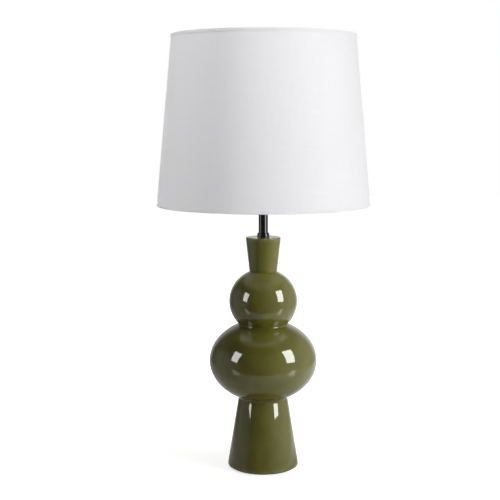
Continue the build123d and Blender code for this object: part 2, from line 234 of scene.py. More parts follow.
# Ceramic body
# One slip-cast stoneware piece, 385 mm tall with a 5 mm wall: a cone foot, a squashed belly, a ball and a
# flaring neck. It is dipped in glossy olive glaze, which thins over edges, pools in the creases and has run
# a little down the cone. The foot's rim is wiped bare.
body_low, body_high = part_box("ceramic_body")
base_radius = 0.0590
foot_height = 0.1180
waist_radius = 0.0404
belly_radius = body_high.x
belly_half_height = 0.0686
crease_radius = 0.0400
ball_radius = 0.0565
ball_half_height = 0.0540
root_radius = 0.0227
neck_top_radius = 0.0291
ceramic_wall = 0.005
deck_thickness = 0.009
floor_rise = 0.026
floor_thickness = 0.006
foot_rounding = 0.0018
foot_rounding_steps = 6
rod_hole_radius = 0.0055
inlet_rise = 0.0125
inlet_radius = 0.0057
glaze_deep = (0.126, 0.121, 0.0175, 1.0)
glaze_light = (0.148, 0.144, 0.0225, 1.0)
glaze_thin = (0.180, 0.168, 0.045, 1.0)
glaze_clouds_per_metre = 26.0
glaze_ripple = 0.00003
glaze_flow = 0.004
glaze_run = 0.0096
glaze_run_at_foot = 0.458
glaze_run_stop = 0.002
bare_clay = (0.560, 0.470, 0.360, 1.0)
bare_clay_roughness = 0.8
wiped_rim = 0.0006
full_crease = radians(150)
sharp_edge = radians(40)


def rise(radius, half_height, at_radius):
    """How far above its middle a squashed ball has that radius."""
    return half_height * sin(acos(at_radius / radius))


def bulge(level, radius, half_height, low_radius, high_radius, steps=60):
    """Points up the side of a squashed ball, from one radius below its middle to another above it."""
    low, high = -acos(low_radius / radius), acos(high_radius / radius)
    angles = [low + (high - low) * i / steps for i in range(steps + 1)]
    return [(radius * cos(a), level + half_height * sin(a)) for a in angles]


waist_z = body_low.z + foot_height
belly_z = waist_z + rise(belly_radius, belly_half_height, waist_radius)
crease_z = belly_z + rise(belly_radius, belly_half_height, crease_radius)
ball_z = crease_z + rise(ball_radius, ball_half_height, crease_radius)
root_z = ball_z + rise(ball_radius, ball_half_height, root_radius)


def ceramic_section():
    """The casting's section: up the outside, through the deck, down the hollow and out at the foot."""
    foot_slope = (base_radius - waist_radius) / foot_height
    foot_inside = base_radius - ceramic_wall
    foot_turns = [radians(90) * i / foot_rounding_steps for i in range(foot_rounding_steps + 1)]
    foot_edge = [
        (base_radius - foot_rounding * (1 - sin(turn)), body_low.z + foot_rounding * (1 - cos(turn)))
        for turn in foot_turns
    ]
    floor_low = body_low.z + floor_rise
    floor_high = floor_low + floor_thickness
    deck_z = body_high.z - deck_thickness
    inside_belly = bulge(
        belly_z, belly_radius - ceramic_wall, belly_half_height - ceramic_wall,
        waist_radius - ceramic_wall, crease_radius - ceramic_wall,
    )
    inside_ball = bulge(
        ball_z, ball_radius - ceramic_wall, ball_half_height - ceramic_wall,
        crease_radius - ceramic_wall, root_radius - ceramic_wall,
    )
    return [
        *foot_edge,
        *bulge(belly_z, belly_radius, belly_half_height, waist_radius, crease_radius),
        *bulge(ball_z, ball_radius, ball_half_height, crease_radius, root_radius)[1:],
        (neck_top_radius, body_high.z),
        (rod_hole_radius, body_high.z),
        (rod_hole_radius, deck_z),
        (neck_top_radius - ceramic_wall, deck_z),
        *reversed(inside_ball),
        *reversed(inside_belly),
        (foot_inside - foot_slope * (floor_high - body_low.z), floor_high),
        (rod_hole_radius, floor_high),
        (rod_hole_radius, floor_low),
        (foot_inside - foot_slope * (floor_low - body_low.z), floor_low),
        (foot_inside, body_low.z),
    ]


def maths(tree, operation, first, second=0.0, third=0.0):
    """The result of one arithmetic step on numbers or sockets."""
    node = add_node(tree, "ShaderNodeMath", {"operation": operation})
    for value, socket in zip((first, second, third), node.inputs):
        join(tree, value, socket)
    return node.outputs[0]


def remap(tree, value, low, high, to_low=0.0, to_high=1.0):
    """A value stretched smoothly from one range to another."""
    node = add_node(tree, "ShaderNodeMapRange", {"interpolation_type": "SMOOTHSTEP"}, Value=value)
    for key, bound in (("From Min", low), ("From Max", high), ("To Min", to_low), ("To Max", to_high)):
        join(tree, bound, node.inputs[key])
    return node.outputs["Result"]


def new_group(name, values, results):
    """An empty shared effect: its named inputs with their usual values, and its named outputs."""
    group = bpy.data.node_groups.new(name, "ShaderNodeTree")
    for key, value in values.items():
        socket = group.interface.new_socket(key, in_out="INPUT", socket_type="NodeSocketFloat")
        socket.default_value = value
    for key in results:
        group.interface.new_socket(key, in_out="OUTPUT", socket_type="NodeSocketFloat")
    return group, group.nodes.new("NodeGroupInput").outputs, group.nodes.new("NodeGroupOutput").inputs


def add_group(tree, group, **inputs):
    """Places a shared effect in a material with that material's own values."""
    node = tree.nodes.new("ShaderNodeGroup")
    node.node_tree = group
    for key, value in inputs.items():
        join(tree, value, node.inputs[key])
    return node.outputs


def handled_surface():
    """Shared finish of smooth hard surfaces: cloudy smudges in the gloss and a fine unevenness."""
    usual = {"Roughness": 0.2, "Spread": 0.1, "Smudges": 40.0, "Grain": 400.0}
    group, given, result = new_group("handled_surface", usual, ("Roughness", "Height", "Smudge"))
    coords = add_node(group, "ShaderNodeTexCoord").outputs["Object"]
    clouds = grain(group, coords, given["Smudges"], detail=5.0, distortion=0.8)
    smudge = remap(group, clouds, low=0.38, high=0.68)
    roughness = maths(group, "MULTIPLY_ADD", smudge, given["Spread"], given["Roughness"])
    join(group, roughness, result["Roughness"])
    join(group, grain(group, coords, given["Grain"], detail=2.0), result["Height"])
    join(group, smudge, result["Smudge"])
    return group


handled = handled_surface()
glaze, tree, shader = new_material("olive_glaze", IOR=1.55)
coords = add_node(tree, "ShaderNodeTexCoord").outputs["Object"]
depth = add_node(tree, "ShaderNodeAttribute", {"attribute_name": "glaze_depth"}).outputs["Fac"]
skin = add_group(tree, handled, Roughness=0.03, Spread=0.03, Smudges=22.0, Grain=70.0)
clouds = remap(tree, grain(tree, coords, glaze_clouds_per_metre, distortion=0.6), low=0.3, high=0.75)
coat = mix_colour(tree, clouds, glaze_light, glaze_deep)
pooled = mix_colour(tree, remap(tree, depth, low=0.55, high=1.0), coat, glaze_deep)
broken = mix_colour(tree, remap(tree, depth, low=0.45, high=0.0), pooled, glaze_thin)
height = add_node(tree, "ShaderNodeSeparateXYZ", Vector=coords).outputs["Z"]
wiped = maths(tree, "LESS_THAN", height, body_low.z + wiped_rim)
gloss = maths(tree, "MULTIPLY_ADD", wiped, bare_clay_roughness, skin["Roughness"])
join(tree, mix_colour(tree, wiped, broken, bare_clay), shader.inputs["Base Color"])
join(tree, gloss, shader.inputs["Roughness"])
under_belly = maths(tree, "MINIMUM", height, waist_z - glaze_run_stop)
run_share = maths(tree, "DIVIDE", maths(tree, "SUBTRACT", under_belly, body_low.z), foot_height)
run_slope = maths(tree, "ADD", run_share, glaze_run_at_foot)
run = maths(tree, "MULTIPLY", maths(tree, "MULTIPLY", run_share, run_slope), -glaze_run)
leaning = add_node(tree, "ShaderNodeBump", Height=run, Distance=1.0).outputs["Normal"]
relief(tree, shader, skin["Height"], glaze_ripple, leaning)
ceramic_outline = softened(
    ceramic_section(), step=0.0005, rounds=12, turn=radians(2.5), reach=0.005, closed=True,
    crisp=[(root_radius, root_z)], wide=[(waist_radius, waist_z), (crease_radius, crease_z)],
)
ceramic = turned("glazed_body", ceramic_outline, segments=192, material=glaze, closed=True)

drill_mesh = bmesh.new()
bmesh.ops.create_cone(
    drill_mesh, cap_ends=True, segments=48,
    radius1=inlet_radius, radius2=inlet_radius, depth=2 * ceramic_wall,
)
drill = mesh_piece("inlet_drill", drill_mesh, glaze)
drill.location = (0.0, base_radius - ceramic_wall, body_low.z + inlet_rise)
drill.rotation_euler = (pi / 2, 0.0, 0.0)
cut = ceramic.modifiers.new("inlet_hole", "BOOLEAN")
cut.object = drill
cut.operation = "DIFFERENCE"
cut.solver = "EXACT"
bpy.context.view_layer.update()
drilled = bpy.data.meshes.new_from_object(ceramic.evaluated_get(bpy.context.evaluated_depsgraph_get()))
ceramic.modifiers.clear()
ceramic.data = drilled
drilled.set_sharp_from_angle(angle=sharp_edge)
bpy.data.objects.remove(drill)


def outline_hollowness(points, spread):
    """For each point of a closed outline: 0 on an outward edge, 1 in a crease, 0.5 where it runs smooth."""
    into = points - np.roll(points, 1, 0)
    out = np.roll(points, -1, 0) - points
    turn = np.arctan2(into[:, 0] * out[:, 1] - into[:, 1] * out[:, 0], (into * out).sum(1))
    place = np.concatenate([[0.0], np.cumsum(np.linalg.norm(out, axis=1))[:-1]])
    apart = np.abs(place[:, None] - place[None, :])
    nearby_turn = (np.exp(-((apart / spread) ** 2)) * turn).sum(1)
    return np.clip(0.5 - nearby_turn / full_crease, 0.0, 1.0)


places = np.empty(len(drilled.vertices) * 3)
drilled.vertices.foreach_get("co", places)
places = places.reshape(-1, 3)
section = np.column_stack([np.hypot(places[:, 0], places[:, 1]), places[:, 2]])
outline_points = np.array(ceramic_outline)
nearest = [int(np.argmin(((outline_points - point) ** 2).sum(1))) for point in section]
hollowness = outline_hollowness(outline_points, glaze_flow)
drilled.attributes.new("glaze_depth", "FLOAT", "POINT").data.foreach_set("value", hollowness[nearest])
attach(ceramic, "base")
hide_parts("ceramic_body")


# Cord bushing
# A moulded black rubber grommet, 15 mm across its flange, pressed into the hole at the back of the foot.
# It is matt, and greyer where it is rubbed.
rubber_dark = (0.010, 0.010, 0.010, 1.0)
rubber_worn = (0.030, 0.030, 0.031, 1.0)


def finish(tree, shader, skin, worn_share, clean, worn, depth):
    """Two tones, a gloss and a relief on a shader, all from one shared effect."""
    join(tree, mix_colour(tree, worn_share, clean, worn), shader.inputs["Base Color"])
    join(tree, skin["Roughness"], shader.inputs["Roughness"])
    relief(tree, shader, skin["Height"], depth)


def handled_finish(name, clean, worn, roughness, spread, smudges, grains, depth, **constants):
    """A smooth hard material, with its smudges and its grain given in features to the metre."""
    material, tree, shader = new_material(name, **constants)
    skin = add_group(tree, handled, Roughness=roughness, Spread=spread, Smudges=smudges, Grain=grains)
    finish(tree, shader, skin, skin["Smudge"], clean, worn, depth)
    return material


def dress(node, material):
    """Gives a solid of the frame its finish."""
    nodes[node].data.materials.clear()
    nodes[node].data.materials.append(material)


rubber = handled_finish(
    "black_rubber", rubber_dark, rubber_worn, roughness=0.55, spread=0.25, smudges=90.0, grains=1800.0,
    depth=0.00008, Specular_IOR_Level=0.35,
)
dress("cord_bushing", rubber)


# Clamping stack
# The hollow zinc-plated steel rod that ties the lamp together, pulled tight under the ceramic floor by a
# nut on a rubber cushion, a plain washer and a split spring washer.
zinc_bright = (0.640, 0.650, 0.670, 1.0)
zinc_dull = (0.480, 0.490, 0.500, 1.0)
metal_rings_per_metre = 1500.0
metal_patches_per_metre = 120.0


def turned_grain():
    """Shared finish of turned and drawn metal: fine rings about the lamp's axis, broken by dull patches."""
    usual = {"Roughness": 0.25, "Spread": 0.2, "Rings": metal_rings_per_metre}
    group, given, result = new_group("turned_grain", usual, ("Roughness", "Height", "Dull"))
    coords = add_node(group, "ShaderNodeTexCoord").outputs["Object"]
    parts = add_node(group, "ShaderNodeSeparateXYZ", Vector=coords).outputs
    squares = [maths(group, "MULTIPLY", parts[axis], parts[axis]) for axis in ("X", "Y")]
    across = maths(group, "SQRT", maths(group, "ADD", *squares))
    lines = add_node(group, "ShaderNodeCombineXYZ", X=across, Y=parts["Z"]).outputs["Vector"]
    rings = grain(group, lines, given["Rings"], detail=3.0)
    dull = remap(group, grain(group, coords, metal_patches_per_metre), low=0.4, high=0.7)
    worn = maths(group, "MULTIPLY", maths(group, "ADD", rings, dull), 0.5)
    roughness = maths(group, "MULTIPLY_ADD", worn, given["Spread"], given["Roughness"])
    join(group, roughness, result["Roughness"])
    join(group, rings, result["Height"])
    join(group, dull, result["Dull"])
    return group


def metal(name, bright, dull, roughness, spread, depth):
    """A bare metal with a turned grain."""
    material, tree, shader = new_material(name, Metallic=1.0)
    skin = add_group(tree, lathe_grain, Roughness=roughness, Spread=spread, Rings=metal_rings_per_metre)
    finish(tree, shader, skin, skin["Dull"], bright, dull, depth)
    return material


lathe_grain = turned_grain()
zinc = metal("zinc_steel", zinc_bright, zinc_dull, roughness=0.24, spread=0.22, depth=0.00004)
for node in ("tie_rod", "clamp_washer", "lock_washer", "rod_nut"):
    dress(node, zinc)
dress("cushion_washer", rubber)


# Collar and neck tube
# A turned steel collar, 20 mm across, on the flat top of the neck, and a 15.5 mm tube seated in it. Both
# are sprayed with gloss black lacquer, which leaves a faint orange peel.
lacquer_black = (0.0045, 0.0045, 0.0048, 1.0)
lacquer_hazed = (0.0085, 0.0085, 0.0090, 1.0)
lacquer = handled_finish(
    "black_lacquer", lacquer_black, lacquer_hazed, roughness=0.04, spread=0.05, smudges=60.0, grains=900.0,
    depth=0.000008, IOR=1.38,
)
for node in ("neck_collar", "neck_tube"):
    dress(node, lacquer)


# Lampholder
# A moulded black phenolic holder: a domed cap locked on the rod by a grub screw, and a sleeve screwed into
# it, whose 38.6 mm barrel has a coarse outside thread for the shade's ring. Inside are a porcelain block,
# brass terminals, a drawn brass screw shell and a spring leaf.
phenolic_black = (0.009, 0.009, 0.009, 1.0)
phenolic_bloom = (0.020, 0.0195, 0.019, 1.0)
porcelain_white = (0.800, 0.785, 0.740, 1.0)
porcelain_shade = (0.700, 0.680, 0.620, 1.0)
brass_bright = (0.780, 0.580, 0.270, 1.0)
brass_dull = (0.560, 0.390, 0.170, 1.0)
sleeve_low, sleeve_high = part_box("holder_sleeve")
sleeve_bore = 0.0170
spigot_radius = 0.0182
spigot_height = 0.0055
skirt_radius = 0.0205
skirt_height = 0.006
shoulder_radius = sleeve_high.x
shoulder_thickness = 0.002
barrel_radius = 0.0193
barrel_thread_pitch = 0.0025
barrel_thread_depth = 0.0008
barrel_thread_margin = 0.0005
barrel_thread_fade = 0.001
touching = 1e-6

phenolic = handled_finish(
    "black_phenolic", phenolic_black, phenolic_bloom, roughness=0.2, spread=0.18, smudges=70.0, grains=1400.0,
    depth=0.00003, IOR=1.55,
)
porcelain = handled_finish(
    "porcelain", porcelain_white, porcelain_shade, roughness=0.35, spread=0.2, smudges=120.0, grains=2500.0,
    depth=0.00004,
)
brass = metal("holder_brass", brass_bright, brass_dull, roughness=0.22, spread=0.2, depth=0.00003)
dress("holder_cap", phenolic)
dress("cap_locking_screw", zinc)
dress("contact_block", porcelain)
for node in ("terminal_clamps", "screw_shell", "centre_contact"):
    dress(node, brass)
dress("terminal_screws", zinc)


def thread(low, high, crest, depth, pitch, fade):
    """A right-handed thread between two heights, cut into what lies within its depth of its crest."""

    def warp(angle, radius, height):
        if not crest - depth < radius < crest + touching:
            return radius, height
        ends = min(max((height - low) / fade, 0.0), 1.0) * min(max((high - height) / fade, 0.0), 1.0)
        turn = (height / pitch - angle / tau) % 1.0
        groove = 0.5 - 0.5 * cos(tau * turn)
        return radius - depth * ends * groove, height

    return warp


spigot_top = sleeve_low.z + spigot_height
shoulder_low = spigot_top + skirt_height
gallery_z = shoulder_low + shoulder_thickness
sleeve_outline = softened(
    [
        (sleeve_bore, sleeve_low.z),
        (spigot_radius, sleeve_low.z),
        (spigot_radius, spigot_top),
        (skirt_radius, spigot_top),
        (skirt_radius, shoulder_low),
        (shoulder_radius, shoulder_low),
        (shoulder_radius, gallery_z),
        (barrel_radius, gallery_z),
        (barrel_radius, sleeve_high.z),
        (sleeve_bore, sleeve_high.z),
    ],
    step=0.0002, rounds=3, turn=radians(20), reach=0.0003, closed=True,
)
barrel_thread = thread(
    gallery_z + barrel_thread_margin, sleeve_high.z - barrel_thread_margin,
    barrel_radius, barrel_thread_depth, barrel_thread_pitch, barrel_thread_fade,
)
sleeve = turned(
    "threaded_sleeve", sleeve_outline, segments=96, material=phenolic, closed=True, warp=barrel_thread
)
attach(sleeve, "base")
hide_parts("holder_sleeve")


# Shade frame
# Steel wire rings of 3 and 3.5 mm in the rims, and three bent spokes welded to a pressed gallery plate, all
# coated together in white epoxy powder.
epoxy_white = (0.800, 0.800, 0.785, 1.0)
epoxy_shade = (0.730, 0.730, 0.715, 1.0)
epoxy = handled_finish(
    "white_epoxy", epoxy_white, epoxy_shade, roughness=0.32, spread=0.15, smudges=80.0, grains=1100.0,
    depth=0.00005,
)
for node in ("top_wire_ring", "bottom_wire_ring", "spider_spokes", "gallery_ring"):
    dress(node, epoxy)


# Shade liner
# A stiff white lining film, 0.6 mm thick, that the fabric is laminated to. It gives the drum its shape and
# shows inside the shade.
shade_bottom_radius = cad_high.x
shade_top_radius = 0.14925
shade_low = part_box("bottom_rim_tape")[0].z
shade_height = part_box("top_rim_tape")[1].z - shade_low
tape_thickness = 0.0005
cover_thickness = 0.0006
liner_thickness = 0.0006
seat_gap = 0.00005
cover_inside = tape_thickness + cover_thickness
liner_inside = cover_inside + liner_thickness
shade_slope = hypot(shade_bottom_radius - shade_top_radius, shade_height)
shade_lean = atan2(shade_bottom_radius - shade_top_radius, shade_height)
layer_low = tape_thickness + seat_gap
layer_high = shade_slope - layer_low
film_white = (0.850, 0.850, 0.835, 1.0)
film_shade = (0.800, 0.800, 0.780, 1.0)


def wall_point(inward, upward):
    """A point of the shade wall's section: square to the wall from its outside, and up along it."""
    radius = shade_bottom_radius - inward * cos(shade_lean) - upward * sin(shade_lean)
    return radius, shade_low + upward * cos(shade_lean) - inward * sin(shade_lean)


film = handled_finish(
    "liner_film", film_white, film_shade, roughness=0.42, spread=0.12, smudges=14.0, grains=900.0,
    depth=0.00003,
)
liner_outline = [
    wall_point(cover_inside, layer_low),
    wall_point(cover_inside, layer_high),
    wall_point(liner_inside, layer_high),
    wall_point(liner_inside, layer_low),
]
liner = turned("lining_film", liner_outline, segments=288, material=film, closed=True)
liner.data.set_sharp_from_angle(angle=sharp_edge)
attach(liner, "shade")
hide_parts("shade_liner")


# Shade cover
# One sheet of white plain-woven fabric, cut as a flat sector of 1.09 by 0.345 m, wrapped round the film
# and glued to itself in a 10 mm overlap at the back.
fabric_white = (0.815, 0.811, 0.828, 1.0)
# The colour of the painted shade between the yarns.
fabric_gap_shade = (0.644, 0.641, 0.653, 1.0)
yarn_pitch = 0.00045
yarn_relief = 0.00010
yarn_waver = 0.25
yarn_wavers_per_metre = 350.0
slubs_per_metre = 600.0
slub_draw = 0.03
slub_bulk = 0.6
slub_tone = 0.16
gap_shade_tone = 0.35
seam_angle = radians(90)
seam_overlap = 0.010
seam_ramp = 0.004
wrap_steps = 320
wrap_rows = 16


def plain_weave():
    """Woven cloth on a UV map in metres: yarns over and under each other, slubs, and painted shade between
    yarns.
    """
    usual = {"Pitch": 0.0005, "Waver": 0.2}
    group, given, result = new_group("plain_weave", usual, ("Height", "Gap", "Slub"))
    coords = add_node(group, "ShaderNodeTexCoord").outputs["UV"]
    parts = add_node(group, "ShaderNodeSeparateXYZ", Vector=coords).outputs
    drift = maths(group, "SUBTRACT", grain(group, coords, yarn_wavers_per_metre), 0.5)
    waver = maths(group, "MULTIPLY", drift, given["Waver"])
    counts, crowns, slubs = [], [], []
    for axis, stretch in (("X", (1.0, slub_draw, 1.0)), ("Y", (slub_draw, 1.0, 1.0))):
        count = maths(group, "ADD", maths(group, "DIVIDE", parts[axis], given["Pitch"]), waver)
        counts.append(maths(group, "FLOOR", count))
        crowns.append(maths(group, "SINE", maths(group, "MULTIPLY", maths(group, "FRACT", count), pi)))
        drawn = add_node(group, "ShaderNodeMapping", Vector=coords, Scale=stretch).outputs["Vector"]
        slubs.append(grain(group, drawn, slubs_per_metre, detail=3.0))
    odd = maths(group, "FLOORED_MODULO", maths(group, "ADD", *counts), 2.0)
    warp_over, weft_over = [
        maths(group, "MULTIPLY", top, maths(group, "MULTIPLY_ADD", low, 0.5, 0.5))
        for top, low in (crowns, reversed(crowns))
    ]
    swap = maths(group, "MULTIPLY", odd, maths(group, "SUBTRACT", warp_over, weft_over))
    slub = maths(group, "MULTIPLY", maths(group, "ADD", *slubs), 0.5)
    height = maths(group, "ADD", weft_over, swap)
    join(group, maths(group, "MULTIPLY_ADD", slub, slub_bulk, height), result["Height"])
    # Gap is a mask of painted shade, strongest where the yarns dip between each other.
    join(group, remap(group, height, low=0.55, high=0.05), result["Gap"])
    join(group, slub, result["Slub"])
    return group


def cloth(name, white, gap, pitch):
    """A white woven cloth with painted shade between its yarns, and a little uneven along them."""
    material, tree, shader = new_material(name, Roughness=0.9, Sheen_Weight=0.15, Sheen_Roughness=0.5)
    weave = add_group(tree, weave_group, Pitch=pitch, Waver=yarn_waver)
    streaks = remap(tree, weave["Slub"], low=0.3, high=0.7, to_high=slub_tone)
    # Painted shade between the yarns, plus random streaks along them.
    share = maths(tree, "MULTIPLY_ADD", weave["Gap"], gap_shade_tone, streaks)
    join(tree, mix_colour(tree, share, white, gap), shader.inputs["Base Color"])
    relief(tree, shader, weave["Height"], yarn_relief)
    return material


def smooth_step(value):
    """0 up to 0, 1 from 1 on, and an even slope between."""
    share = min(max(value, 0.0), 1.0)
    return share * share * (3 - 2 * share)


def seam_lift(angle):
    """How far the cloth stands out at an angle past the seam, where its second end lies on its first."""
    past = (angle - tau) * shade_bottom_radius
    return cover_thickness * smooth_step((past + seam_ramp) / seam_ramp)


def cut_point(angle, upward):
    """Where a point of the wrapped cloth lay in the flat cut, whose middle is at the front of the lamp."""
    from_apex = apex_to_bottom - upward
    swing = (angle - pi) * sin(shade_lean)
    return from_apex * sin(swing), from_apex * cos(swing)


def wrapped_cover():
    """The cloth as a closed thin sheet, wound once round the film from the seam to its overlap."""
    full_turn = tau + seam_overlap / shade_bottom_radius
    rows = [layer_low + (layer_high - layer_low) * j / wrap_rows for j in range(wrap_rows + 1)]
    loop_rows = [(tape_thickness, row) for row in rows] + [(cover_inside, row) for row in reversed(rows)]
    count = len(loop_rows)
    mesh = bmesh.new()
    uv = mesh.loops.layers.uv.new("metres")
    bands, places = [], []
    for i in range(wrap_steps + 1):
        angle = full_turn * i / wrap_steps
        band = []
        for inward, row in loop_rows:
            radius, height = wall_point(inward - seam_lift(angle), row)
            band.append(mesh.verts.new(about_axis(seam_angle + angle, radius, height)))
        bands.append(band)
        places.append([cut_point(angle, row) for inward, row in loop_rows])
    for i in range(wrap_steps):
        for j in range(count):
            k = (j + 1) % count
            corners = ((i, j), (i + 1, j), (i + 1, k), (i, k))
            mapped_face(mesh, uv, [bands[a][b] for a, b in corners], [places[a][b] for a, b in corners])
    for end in (0, wrap_steps):
        for j in range(wrap_rows):
            rungs = (j, j + 1, count - 2 - j, count - 1 - j)
            mapped_face(mesh, uv, [bands[end][k] for k in rungs], [places[end][k] for k in rungs])
    return mesh


apex_to_bottom = shade_bottom_radius / sin(shade_lean)
weave_group = plain_weave()
fabric = cloth("shade_fabric", fabric_white, fabric_gap_shade, yarn_pitch)
cover = mesh_piece("shade_cloth", wrapped_cover(), fabric)
cover.data.set_sharp_from_angle(angle=sharp_edge)
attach(cover, "shade")
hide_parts("shade_cover")


# Rim tapes
# Strips of the same white cloth, about 14 mm wide, glued 5 mm up the outside of each rim, turned over the
# wire and glued down inside. The lower one is slit where a spoke reaches the wire.
tape_height = 0.005
top_wire_radius = 0.0015
bottom_wire_radius = 0.00175
tape_white = (0.795, 0.792, 0.806, 1.0)
# The colour of the painted shade between the tape's yarns.
tape_gap_shade = (0.634, 0.632, 0.642, 1.0)
tape_segments = 360
tape_bend_steps = 8
tape_rows = 4
tape_least_row = 0.0004
tape_waver = 0.00018
tape_waver_radius = 6.0
tape_sharp_edge = radians(50)
tape_lift_reach = 0.016
spoke_angles = [radians(90 + 120 * i) for i in range(3)]
slit_half_width = 0.0022
slit_depth = 0.0042
slit_edge = 1.4
slit_ramp = slit_half_width / slit_edge
slit_stations = (0.0, 0.5, 1.0, slit_edge)


def tape_section(wire_radius):
    """The folded tape's section as (inward, from the rim) points: a band round the cloth's edge and the wire.
    With it comes the depth at which its inner leg starts."""
    depth = liner_inside + 2 * (seat_gap + wire_radius)
    bend = wire_radius + seat_gap
    outer_bend = bend + tape_thickness
    across, up = depth - bend, tape_thickness + bend
    angles = [pi / 2 * i / tape_bend_steps for i in range(tape_bend_steps + 1)]
    outer = [(across + outer_bend * sin(a), up - outer_bend * cos(a)) for a in angles]
    inner = [(across + bend * cos(a), up - bend * sin(a)) for a in angles]
    corner = [(tape_thickness * (1 - sin(a)), tape_thickness * (1 - cos(a))) for a in reversed(angles)]
    heights = [tape_height * i / tape_rows for i in range(tape_rows + 1)]
    outside = [(0.0, h) for h in reversed(heights) if h > tape_thickness]
    inside = [(depth + tape_thickness, h) for h in heights if h > outer[-1][1] + tape_least_row]
    back = [(depth, h) for _, h in reversed(inside)]
    return [
        *outside,
        *corner,
        *outer,
        *inside,
        *back,
        *inner,
        (tape_thickness, tape_thickness),
        (tape_thickness, tape_height),
    ], depth


def rim_length(around, angle):
    """How far two angles lie apart, as a length round the lower rim."""
    return abs((around - angle + pi) % tau - pi) * shade_bottom_radius


def spoke_slit(around):
    """How deep the inner leg is cut at an angle to let a spoke through: fully up to one ramp from the
    spoke, and not at all from two ramps on."""
    nearest_spoke = min(rim_length(around, spoke) for spoke in spoke_angles)
    return slit_depth * smooth_step(2.0 - nearest_spoke / slit_ramp)


def folded_tape(name, wire_radius, at_bottom, seed):
    """One rim's tape, all the way round, with a hand-glued edge that wavers a little, and its flat width."""
    section, depth = tape_section(wire_radius)
    along = lengths_along(section)
    arounds = [seam_angle + tau * i / tape_segments for i in range(tape_segments)]
    if at_bottom:
        offsets = [s * slit_half_width * f / shade_bottom_radius for s in (-1, 1) for f in slit_stations]
        arounds += [spoke + offset for spoke in spoke_angles for offset in offsets]
        arounds = sorted({round(around % tau, 6) for around in arounds})
    mesh = bmesh.new()
    uv = mesh.loops.layers.uv.new("metres")
    bands = []
    for around in arounds:
        edge = tape_waver * noise.noise(Vector(about_axis(around, tape_waver_radius, seed)))
        from_seam = rim_length(around, seam_angle)
        lift = cover_thickness * smooth_step((tape_lift_reach - from_seam) / seam_overlap)
        slit = spoke_slit(around) if at_bottom else 0.0
        band = []
        for inward, from_rim in section:
            climb = from_rim + edge * smooth_step((from_rim - tape_height / 2) / (tape_height / 2))
            inner_leg = inward > depth - touching and from_rim > tape_thickness + wire_radius
            if inner_leg and slit > 0.0:
                climb = min(climb, max(from_rim - slit, tape_height - slit_depth))
            outward = lift if inward < 2 * tape_thickness else 0.0
            radius, height = wall_point(inward - outward, climb if at_bottom else shade_slope - climb)
            band.append(mesh.verts.new(about_axis(around, radius, height)))
        bands.append(band)
    ends = arounds[1:] + [arounds[0] + tau]
    for here, after, start, end in zip(bands, bands[1:] + bands[:1], arounds, ends):
        span = (start * shade_bottom_radius, end * shade_bottom_radius)
        mapped_strip(mesh, uv, here, after, span, along, len(section))
    piece = mesh_piece(name, mesh, tape_cloth)
    piece.data.set_sharp_from_angle(angle=tape_sharp_edge)
    return piece, along[-1] / 2


tape_cloth = cloth("rim_tape", tape_white, tape_gap_shade, yarn_pitch)
rims = (
    ("upper_rim_tape", "top_rim_tape", top_wire_radius, False, shade_top_radius, 1.0),
    ("lower_rim_tape", "bottom_rim_tape", bottom_wire_radius, True, shade_bottom_radius, 7.0),
)
for name, node, wire_radius, at_bottom, rim_radius, seed in rims:
    tape, tape_width = folded_tape(name, wire_radius, at_bottom, seed)
    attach(tape, "shade")
    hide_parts(node)


# Shade ring
# A fluted black phenolic ring, 54 mm across, that screws down the barrel on to the gallery plate. It is
# moulded in the same material as the lampholder.
dress("shade_ring", phenolic)


# Bulb
# A screw-cap globe bulb, 60 mm across: a nickel-plated cap with a rolled thread, black glass round its foot
# contact, a white moulded housing and an opal diffusing globe.
cap_low, cap_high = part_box("bulb_cap")
cap_radius = cap_high.x
cap_wall = 0.0005
cap_chamfer = 0.0016
cap_thread_lead = 0.003629
cap_thread_depth = 0.0009
cap_thread_fade = 0.0015
cap_plain_band = 0.005
nickel_bright = (0.720, 0.705, 0.680, 1.0)
nickel_dull = (0.560, 0.545, 0.520, 1.0)
glass_black = (0.006, 0.006, 0.007, 1.0)
glass_streak = (0.016, 0.016, 0.018, 1.0)
housing_white = (0.840, 0.840, 0.830, 1.0)
housing_shade = (0.780, 0.780, 0.765, 1.0)
opal_white = (0.880, 0.880, 0.865, 1.0)
opal_shade = (0.840, 0.838, 0.820, 1.0)

nickel = metal("bulb_metal", nickel_bright, nickel_dull, roughness=0.2, spread=0.2, depth=0.00002)
black_glass = handled_finish(
    "bulb_black_glass", glass_black, glass_streak, roughness=0.08, spread=0.1, smudges=200.0, grains=900.0,
    depth=0.00003, IOR=1.52,
)
housing = handled_finish(
    "bulb_white", housing_white, housing_shade, roughness=0.3, spread=0.15, smudges=60.0, grains=1600.0,
    depth=0.00003,
)
opal = handled_finish(
    "bulb_opal", opal_white, opal_shade, roughness=0.22, spread=0.12, smudges=35.0, grains=300.0,
    depth=0.00002, Coat_Weight=0.4, Coat_Roughness=0.06,
)
inside_radius = cap_radius - cap_wall
cap_outline = softened(
    [
        (0.0, cap_low.z),
        (cap_radius - cap_chamfer, cap_low.z),
        (cap_radius, cap_low.z + cap_chamfer),
        (cap_radius, cap_high.z),
        (inside_radius, cap_high.z),
        (inside_radius, cap_low.z + cap_chamfer + cap_wall),
        (inside_radius - cap_chamfer, cap_low.z + cap_wall),
        (0.0, cap_low.z + cap_wall),
    ],
    step=0.0001, rounds=3, turn=radians(20), reach=0.0004,
)
cap_thread = thread(
    cap_low.z + cap_chamfer, cap_high.z - cap_plain_band,
    cap_radius, cap_thread_depth, cap_thread_lead, cap_thread_fade,
)
screw_cap = turned("threaded_bulb_cap", cap_outline, segments=96, material=nickel, warp=cap_thread)
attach(screw_cap, "bulb")
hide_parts("bulb_cap")
dress("bulb_contact", nickel)
dress("bulb_insulator", black_glass)
dress("bulb_housing", housing)
dress("bulb_globe", opal)


